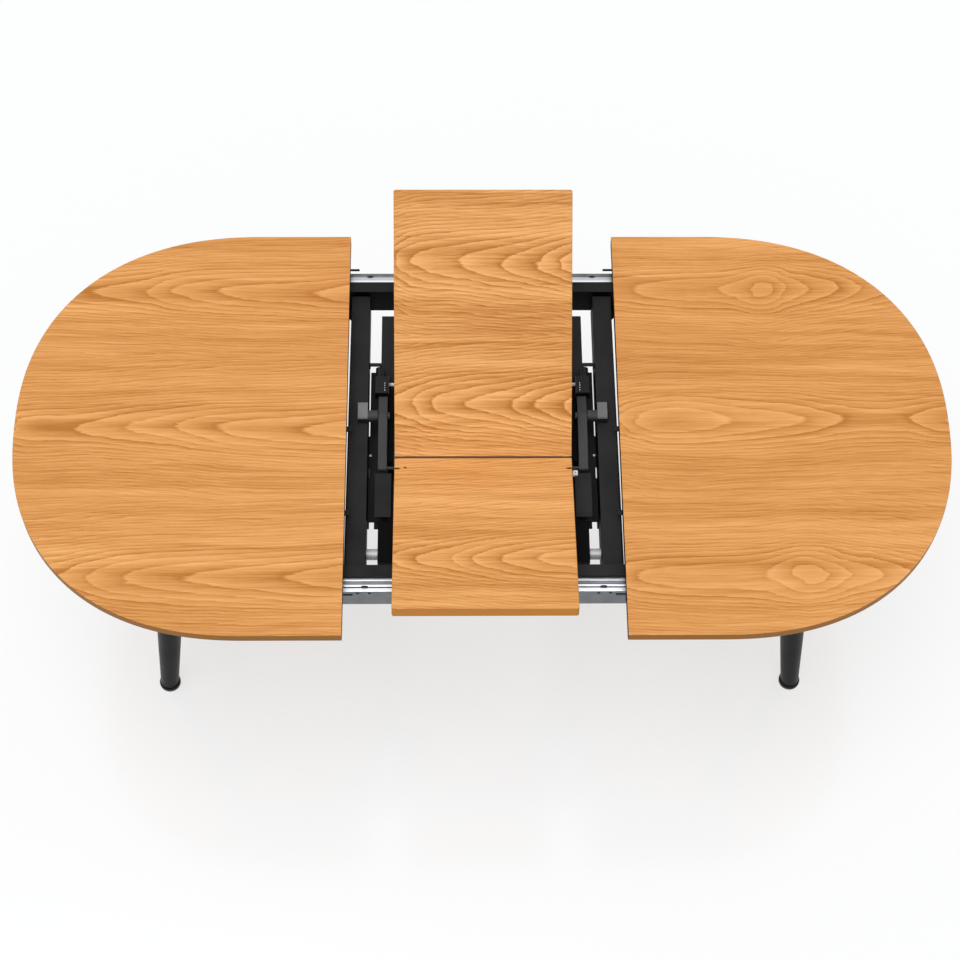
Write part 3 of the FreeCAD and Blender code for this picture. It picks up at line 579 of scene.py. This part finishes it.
# Four small plated screws in each damper, a dark one in each shelf.
SCREW_LIGHT = linear(205, 207, 210)
SCREW_SHADE = linear(150, 153, 158)
SCREW_ROUGH = 0.28
DAMPER_SCREW_X = 0.2165
DAMPER_SCREW_Y = (0.112, 0.118, 0.124, 0.130)
DAMPER_SCREW_SIZE = (0.0013, 0.0007)
SHELF_SCREW_X = 0.2175
SHELF_SCREW_Y = -0.096
SHELF_SCREW_SIZE = (0.0022, 0.0010)
damper_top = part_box("leaf_dampers")[1].z
shelf_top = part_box("stow_shelves")[1].z
screw_zinc = zinc_plate("screw_zinc", SCREW_LIGHT, SCREW_SHADE, SCREW_ROUGH)
spots = [((sign * DAMPER_SCREW_X, y, damper_top), UP) for sign in SIDES.values() for y in DAMPER_SCREW_Y]
heads("damper_screws", "centre_frame", screw_zinc, spots, DAMPER_SCREW_SIZE)
spots = [((sign * SHELF_SCREW_X, SHELF_SCREW_Y, shelf_top), UP) for sign in SIDES.values()]
heads("shelf_screws", "centre_frame", pin_dark, spots, SHELF_SCREW_SIZE)

# White nylon: a stop with a button on each side bar, a rest block beside the right leaf pin,
# held by a screw, and a plug in each gear plate.
NYLON_LIGHT = linear(246, 246, 243)
NYLON_SHADE = linear(228, 228, 224)
NYLON_HAZE = 300
NYLON_ROUGH = 0.42
NYLON_SUNK = 0.0005
BAR_STOP_X = (0.1962, 0.2082)
BAR_STOP_Y = (0.1365, 0.1430)
BAR_STOP_TALL = 0.0055
BAR_STOP_ARRIS = 0.0012
BUTTON_X = (0.1982, 0.2062)
BUTTON_Y = (0.1380, 0.1415)
BUTTON_OVER = (0.0050, 0.0070)
BUTTON_ARRIS = 0.0006
REST_X = (0.1965, 0.2070)
REST_Y = (-0.0935, -0.0815)
REST_TALL = 0.009
REST_ARRIS = 0.0014
REST_SCREW_SIZE = (0.0013, 0.0006)
NYLON_PLUG_X = 0.2484
NYLON_PLUG_Y = -0.013
NYLON_PLUG_SIZE = (0.0030, 0.0016)
bar_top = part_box("right_side_bar")[1].z
nylon = Finish("nylon_white")
haze = nylon.speckle(NYLON_HAZE)
nylon.surface({"Base Color": nylon.mixed(haze, NYLON_LIGHT, NYLON_SHADE),
               "Roughness": NYLON_ROUGH + (haze - 0.5) * 0.2})
stop_z = (bar_top - NYLON_SUNK, bar_top + BAR_STOP_TALL)
button_z = [bar_top + over for over in BUTTON_OVER]
blocks = bmesh.new()
for sign in SIDES.values():
    rounded_block(blocks, (flipped(BAR_STOP_X, sign), BAR_STOP_Y, stop_z), BAR_STOP_ARRIS)
    rounded_block(blocks, (flipped(BUTTON_X, sign), BUTTON_Y, button_z), BUTTON_ARRIS)
rounded_block(blocks, (REST_X, REST_Y, (bar_top - NYLON_SUNK, bar_top + REST_TALL)), REST_ARRIS)
piece("bar_stops", "centre_frame", nylon, blocks)
spots = [((sign * NYLON_PLUG_X, NYLON_PLUG_Y, plate_top), UP) for sign in SIDES.values()]
heads("plate_plugs", "centre_frame", nylon, spots, NYLON_PLUG_SIZE)
spots = [((sum(REST_X) / 2, sum(REST_Y) / 2, bar_top + REST_TALL), UP)]
heads("rest_screw", "centre_frame", pin_dark, spots, REST_SCREW_SIZE)


# Legs: tapered steel tube, satin black, welded to a plate that is bolted under the board, on
# glossy moulded levelling feet. A square tube ties each pair, and folded angles carry the half.

LEG_COAT = linear(16, 17, 18)
LEG_DUST_AND_LIGHT = linear(30, 31, 32)
LEG_ROUGH = 0.36
LEG_SHEEN = 0.06
FOOT_BLACK = linear(9, 9, 10)
FOOT_SCUFFS = 120
FOOT_ROUGH = 0.09
FOOT_SHEEN = 0.28
BOLT_INSET = 0.014
BOLT_FAR = 0.106
BOLT_SIZE = (0.0062, 0.0036)
ANGLE_SCREW_ALONG = (0.030, 0.140, 0.250, 0.350)
ANGLE_SCREW_INSET = 0.012
ANGLE_SCREW_Z = 0.690
ANGLE_SCREW_SIZE = (0.0042, 0.0022)
ANGLE_SHEET = 0.003

leg_black = powder_coat("leg_black", LEG_COAT, LEG_DUST_AND_LIGHT, LEG_ROUGH, LEG_SHEEN)
foot_gloss = Finish("foot_gloss")
scuffs = foot_gloss.speckle(FOOT_SCUFFS, 3.0)
foot_gloss.surface({"Base Color": FOOT_BLACK, "Roughness": FOOT_ROUGH + (scuffs - 0.5) * 0.1,
                    "Specular IOR Level": FOOT_SHEEN})

for side, sign in SIDES.items():
    dress([f"{side}_leg_{end}" for end in ENDS], leg_black)
    dress([f"{side}_foot_{end}" for end in ENDS], foot_gloss)
    sheet_steel = [f"{side}_{part}" for part in (
        "leg_plates", "leg_beam", "slide_angle_front", "slide_angle_rear")]
    dress([*sheet_steel, f"{side}_edge_tabs"], frame_black)
    soften(sheet_steel, STEEL_ARRIS)

    low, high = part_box(f"{side}_leg_plates")
    spots = [((x, edge + way * inset, low.z), DOWN) for x in (low.x + BOLT_INSET, high.x - BOLT_INSET)
             for edge, way in ((low.y, 1), (high.y, -1)) for inset in (BOLT_INSET, BOLT_FAR)]
    heads(f"{side}_leg_bolts", f"{side}_half", screw_zinc, spots, BOLT_SIZE)

    spots = []
    for end, way in ENDS.items():
        low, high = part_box(f"{side}_slide_angle_{end}")
        inner = low.x if sign > 0 else high.x
        foot, web = (high.y, low.y) if way > 0 else (low.y, high.y)
        for along in ANGLE_SCREW_ALONG:
            x = inner + sign * along
            spots.append(((x, foot - way * ANGLE_SCREW_INSET, high.z - ANGLE_SHEET), DOWN))
            spots.append(((x, web + way * ANGLE_SHEET, ANGLE_SCREW_Z), (0, way, 0)))
    heads(f"{side}_angle_screws", f"{side}_half", screw_zinc, spots, ANGLE_SCREW_SIZE)


# Top halves: D-shaped fibreboard panels, veneered in plain-sawn oak with the grain along the
# table and edge-banded in the same oak, under a satin lacquer. The edges are painted darker as shade.

OAK_LIGHT = linear(247, 185, 119)
OAK_MID = linear(222, 157, 91)
OAK_DARK = linear(187, 120, 56)
# Dark brown for the marks in the veneer and for the painted shade of the fold.
OAK_MARK_AND_SHADE = linear(76, 36, 6)
OAK_STOPS = [(0.0, OAK_LIGHT), (0.5, OAK_MID), (1.0, OAK_DARK)]
OAK_ROUGH = 0.46
OAK_SHEEN = 0.10
OAK_DEEP = 0.00010
# Edge colours, painted darker as shade.
EDGE_SHADED_OAK = linear(163, 108, 36)
EDGE_SHADED_LATE = linear(147, 95, 28)
SEAM_SHADE_BLACK = linear(12, 10, 9)
EDGE_SHADE_FACING = (0.75, 0.45)
UNDER_FACING = (-0.3, -0.7)
UNDER_SHADE = 0.2
BOARD_ARRIS = 0.0007

# Rings along a flame, its width and shape in millimetres, and rings per millimetre beside it.
RINGS = 10.0
FLAME = 33.0
FLAME_POWER = 1.85
FLAME_REACH = 62.0
SIDE_RINGS = 0.13
PLAIN_FROM = (45.0, 105.0)

# Waves to the metre, along the grain and across it.
SWAY = (1.8, 3.0)
WAVE = (8, 20)
RIPPLE = (26, 60)
DRIFT = (1.4, 55)
JAG = (22, 420)
FIBRE = (24, 900)
STREAK = (6.5, 260)
LINES = (3.2, 120)
BANDS = (0.8, 26)
PORES = (45, 1500)
PORE_SHARE = (0.56, 0.70)

# How far those waves bend the grain aside, and shift the rings along it, in metres.
SWAY_ASIDE = 0.030
WAVE_ASIDE = 0.008
WAVE_ALONG = 0.05
RIPPLE_ASIDE = 0.002
RIPPLE_ALONG = 0.016
RING_BREAK = (0.90, 1.0)
MARK_EDGE = (1.3, 0.4)
MARK_AND_SHADE_SHARE = 0.95


def growth_rings(made, x, y, span, rows, seed):
    """Where the grain runs, how dark the late wood of the rings is, and how plain the grain.
    Each row is one flitch: the line of its heart, and where along the board the growth rings
    cross that line. The rings turn from the flame into straight grain to either side."""

    def figure(waves, detail=2.0):
        return made.noise(x * waves[0] + seed, y * waves[1], seed, detail) - 0.5

    sway = figure(SWAY, 1.0)
    wave = figure(WAVE)
    ripple = figure(RIPPLE)
    grain_y = y + sway * SWAY_ASIDE + wave * WAVE_ASIDE + ripple * RIPPLE_ASIDE
    start, stop = span
    along = (x + wave * WAVE_ALONG + ripple * RIPPLE_ALONG - start) / (stop - start)
    rings = from_heart = None
    for heart, points in rows:
        cross = made.node("ShaderNodeFloatCurve", {"points": points}, {"Factor": 1.0, "Value": along}) * RINGS
        off = (grain_y - heart).size() * 1000
        flame = (off.at_most(FLAME_REACH) / FLAME) ** FLAME_POWER
        ring = cross - flame - (off - FLAME_REACH).at_least(0.0) * SIDE_RINGS
        rings = ring if rings is None else rings.at_least(ring)
        from_heart = off if from_heart is None else from_heart.at_most(off)
    plain = from_heart.within(*PLAIN_FROM)
    jag = made.noise(x * JAG[0], y * JAG[1], seed) - 0.5
    rings = rings + jag * 0.26 + wave * 0.25 + figure(DRIFT) * plain * 1.8

    # A ring darkens slowly and breaks off sharply, and some rings are heavier than others.
    step = rings.fract()
    weight = made.noise(rings.floor() * 3.7, seed, 0.5, 0.0)
    late = (step * 0.55 + step ** 7.0 * 0.65 - (1.0 - step) ** 6.0 * 0.2) * (0.25 + weight * 1.3)
    late = late * (1.0 - step.within(*RING_BREAK)) * (1.0 - plain * 0.45) + plain * 0.13
    return grain_y, late, plain


def oak(name, span, rows, shaded_band, seed, base, depth, tilt=0.0, middle=(0.0, 0.0, 0.0), seam_shade=None, fold=None,
        marks=()):
    """Plain-sawn oak veneer on a board that lies flat or is tilted about the fold. Its edges are
    painted darker as shade, the meeting edge is painted black as shade, and the fold slit is a dark
    line of painted shade."""
    made = Finish(name)
    spot, normal = made.node("ShaderNodeTexCoord", output=("Object", "Normal"))
    turned = made.node("ShaderNodeMapping", {"vector_type": "TEXTURE"},
                       {"Vector": spot, "Location": middle, "Rotation": (tilt, 0.0, 0.0)})
    x, y, z = made.node("ShaderNodeSeparateXYZ", None, {0: turned}, ("X", "Y", "Z"))
    facing = made.node("ShaderNodeVectorMath", {"operation": "DOT_PRODUCT"},
                       {0: normal, 1: (0.0, -math.sin(tilt), math.cos(tilt))}, "Value")
    grain_y, late, plain = growth_rings(made, x, y, span, rows, seed)

    def strands(waves, across):
        return made.noise(x * waves[0] + seed, across * waves[1], z * waves[1], 3.0, 0.6) - 0.5

    fibre = strands(FIBRE, y)
    streak = strands(STREAK, grain_y)
    lines = strands(LINES, grain_y)
    bands = made.noise(x * BANDS[0] + seed, grain_y * BANDS[1], seed, 4.0, 0.62) - 0.5
    pores = made.noise(x * PORES[0], y * PORES[1], z * PORES[1], 1.0).within(*PORE_SHARE)

    # The tone adds up the late wood, the fibres, broader and broader streaks, and the pores.
    tone = (late * 0.70 - 0.17 + fibre * 0.6 + streak * 0.88 + lines * (0.55 + plain * 0.25) + bands * 1.25
            + pores * 0.10) * depth + base
    under = facing.within(*UNDER_FACING)
    colour = made.node("ShaderNodeValToRGB", {"stops": OAK_STOPS}, {"Fac": tone + under * UNDER_SHADE})
    for mark_x, mark_y, long, wide in marks:
        mark = (((x - mark_x) / long) ** 2.0 + ((y - mark_y) / wide) ** 2.0).within(*MARK_EDGE)
        colour = made.mixed(mark * MARK_AND_SHADE_SHARE, colour, OAK_MARK_AND_SHADE)
    edge = made.mixed((fibre + streak) * 1.2 + 0.5, *shaded_band)
    # The meeting edge is painted black as shade.
    if seam_shade is not None:
        edge = made.mixed(x.size() < seam_shade, edge, SEAM_SHADE_BLACK)
    # The edges are painted darker as shade.
    colour = made.mixed(facing.size().within(*EDGE_SHADE_FACING), colour, edge)
    # The fold slit is painted as a dark line of shade.
    if fold is not None:
        line, fade, full = fold
        colour = made.mixed((y - line).size().within(fade, full) * MARK_AND_SHADE_SHARE, colour, OAK_MARK_AND_SHADE)
    return made.surface({"Base Color": colour, "Roughness": OAK_ROUGH + fibre * 0.25,
                         "Specular IOR Level": OAK_SHEEN,
                         "Normal": made.bump(fibre * 0.6 - pores * 0.5, OAK_DEEP)})


def along_grain(name):
    """The reach of a board along the table."""
    low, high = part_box(name)
    return low.x, high.x


LEFT_ROWS = (
    (0.350, [(0, 0.02), (0.22, 0.10), (0.38, 0.20), (0.457, 0.30), (0.596, 0.40), (0.90, 0.50), (1, 0.55)]),
    (-0.005, [(0, 0.0), (0.014, 0.05), (0.208, 0.10), (0.346, 0.20), (0.485, 0.30), (0.61, 0.40),
              (0.886, 0.50), (1, 0.54)]),
    (-0.365, [(0, 0.02), (0.18, 0.10), (0.263, 0.20), (0.36, 0.30), (0.568, 0.40), (0.83, 0.50), (1, 0.56)]),
)
RIGHT_ROWS = (
    (0.355, [(0, 0.57), (0.055, 0.60), (0.20, 0.66), (0.346, 0.70), (0.42, 0.78), (0.464, 0.83),
             (0.508, 0.78), (0.54, 0.70), (0.61, 0.60), (0.70, 0.50), (0.776, 0.40), (1, 0.2)]),
    (0.015, [(0, 0.58), (0.014, 0.60), (0.058, 0.70), (0.139, 0.78), (0.238, 0.76), (0.335, 0.70),
             (0.446, 0.65), (0.554, 0.60), (0.672, 0.50), (0.778, 0.46), (0.886, 0.50), (0.97, 0.58),
             (1, 0.6)]),
    (-0.362, [(0, 0.55), (0.042, 0.60), (0.21, 0.66), (0.40, 0.70), (0.474, 0.78), (0.54, 0.84),
              (0.605, 0.78), (0.65, 0.70), (0.748, 0.60), (0.83, 0.50), (1, 0.3)]),
)
SHADED_EDGE_BAND = (EDGE_SHADED_OAK, EDGE_SHADED_LATE)
SEAM_EDGE = 0.2985
dress(("left_top_panel",), oak("left_top_oak", along_grain("left_top_panel"), LEFT_ROWS, SHADED_EDGE_BAND,
                               seed=1.3, base=0.55, depth=0.93, seam_shade=SEAM_EDGE))
dress(("right_top_panel",), oak("right_top_oak", along_grain("right_top_panel"), RIGHT_ROWS, SHADED_EDGE_BAND,
                                seed=7.9, base=0.58, depth=0.92, seam_shade=SEAM_EDGE))
soften(("left_top_panel", "right_top_panel"), BOARD_ARRIS)

# A thin black strip under the meeting edge of each half, between the steel tabs, is painted shade
# that darkens the slit beside that edge.
SEAM_X = (0.2978, 0.3006)
SEAM_Z = (0.7242, 0.7249)
SEAM_RUNS = ((-0.4950, -0.2060), (-0.1920, 0.0010), (0.0150, 0.4950))
SEAM_ARRIS = 0.0002
for side, sign in SIDES.items():
    seam_shade = bmesh.new()
    for run in SEAM_RUNS:
        rounded_block(seam_shade, (flipped(SEAM_X, sign), run, SEAM_Z), SEAM_ARRIS)
    piece(f"{side}_seam_shade_strip", f"{side}_half", moulded_black, seam_shade)


# Leaf: two wings of the same veneered board, hinged along the fold on brass barrels. Folded
# steel brackets under the front wing hang on the pins of the swing arms.

REAR_TILT = math.radians(34)
FRONT_TILT = math.radians(-14)

# The hinge line, y and z, as the leaf stands, and its y on the flat leaf. On each wing the dark
# line of painted shade in the fold slit: its middle, and how far from there it begins and is at its full.
FOLD = (-0.0665, 0.73164)
FOLD_FLAT = -0.076
REAR_FOLD_SHADE = (FOLD_FLAT, 0.0022, 0.0010)
FRONT_FOLD_SHADE = (FOLD_FLAT, 0.0050, 0.0032)
# The leaf's edge colours, painted darker as shade.
LIP_SHADED_OAK = linear(206, 140, 62)
LIP_SHADED_LATE = linear(190, 126, 52)
LEAF_SHADED_BAND = (LIP_SHADED_OAK, LIP_SHADED_LATE)
REAR_ROWS = (
    (0.347, [(0, 0.06), (0.031, 0.10), (0.109, 0.20), (0.358, 0.30), (0.631, 0.40), (0.803, 0.50),
             (0.935, 0.60), (1, 0.65)]),
    (0.038, [(0, 0.04), (0.094, 0.10), (0.21, 0.20), (0.43, 0.30), (0.686, 0.40), (0.81, 0.50), (1, 0.62)]),
)
FRONT_ROWS = (
    (-0.361, [(0, 0.10), (0.171, 0.20), (0.327, 0.30), (0.452, 0.40), (0.60, 0.50), (1, 0.66)]),
)

# Dark marks in the veneer near the fold: the place of each, its half length and half width.
FRONT_MARKS = ((-0.1875, -0.1100, 0.0085, 0.0030), (-0.1690, -0.1075, 0.0036, 0.0026),
               (0.1865, -0.1100, 0.0085, 0.0030))
BRASS_LIGHT = linear(120, 92, 52)
BRASS_SHADE = linear(70, 52, 30)
BRASS_ROUGH = 0.35


def flat_origin(tilt):
    """Where the middle of the table top comes to lie when a wing is turned about the fold."""
    return (0.0, FOLD[0] - FOLD_FLAT * math.cos(tilt), FOLD[1] - FOLD_FLAT * math.sin(tilt))


dress(("rear_leaf_panel",), oak("rear_leaf_oak", along_grain("rear_leaf_panel"), REAR_ROWS, LEAF_SHADED_BAND,
                                seed=3.1, base=0.46, depth=1.35, tilt=REAR_TILT,
                                middle=flat_origin(REAR_TILT), fold=REAR_FOLD_SHADE))
dress(("front_leaf_panel",), oak("front_leaf_oak", along_grain("front_leaf_panel"), FRONT_ROWS, LEAF_SHADED_BAND,
                                 seed=5.4, base=0.51, depth=1.1, tilt=FRONT_TILT,
                                 middle=flat_origin(FRONT_TILT), fold=FRONT_FOLD_SHADE, marks=FRONT_MARKS))
soften(("rear_leaf_panel", "front_leaf_panel"), BOARD_ARRIS)

# A dark strip on the rear wing's edge fills the slit of the fold: painted shade, in a speckled brown.
TAPE_ALONG = (-0.1915, 0.1915)
TAPE_FLAT = (-0.00016, 0.00022)
TAPE_DEPTH = (-0.0150, -0.0009)
TAPE_ARRIS = 0.00008
SLIT_SHADE_DARK = linear(58, 32, 12)
SLIT_SHADE_LIGHT = linear(84, 48, 20)
SLIT_SHADE_SPECKS = 2200
SLIT_SHADE_ROUGH = 0.9
slit_shade = Finish("fold_slit_shade")
slit_shade.surface({"Base Color": slit_shade.mixed(slit_shade.speckle(SLIT_SHADE_SPECKS), SLIT_SHADE_DARK, SLIT_SHADE_LIGHT),
              "Roughness": SLIT_SHADE_ROUGH})
shade_strip = bmesh.new()
rounded_block(shade_strip, (TAPE_ALONG, TAPE_FLAT, TAPE_DEPTH), TAPE_ARRIS)
hinged = Matrix.Translation((0.0, *FOLD)) @ Matrix.Rotation(REAR_TILT, 4, "X")
bmesh.ops.transform(shade_strip, matrix=hinged, verts=shade_strip.verts)
piece("fold_shade_strip", "rear_wing", slit_shade, shade_strip)

dress(("left_front_bracket", "right_front_bracket"), frame_black)
hinge_brass = zinc_plate("hinge_brass", BRASS_LIGHT, BRASS_SHADE, BRASS_ROUGH)
dress(("front_hinge_barrels", "rear_hinge_barrels"), hinge_brass)
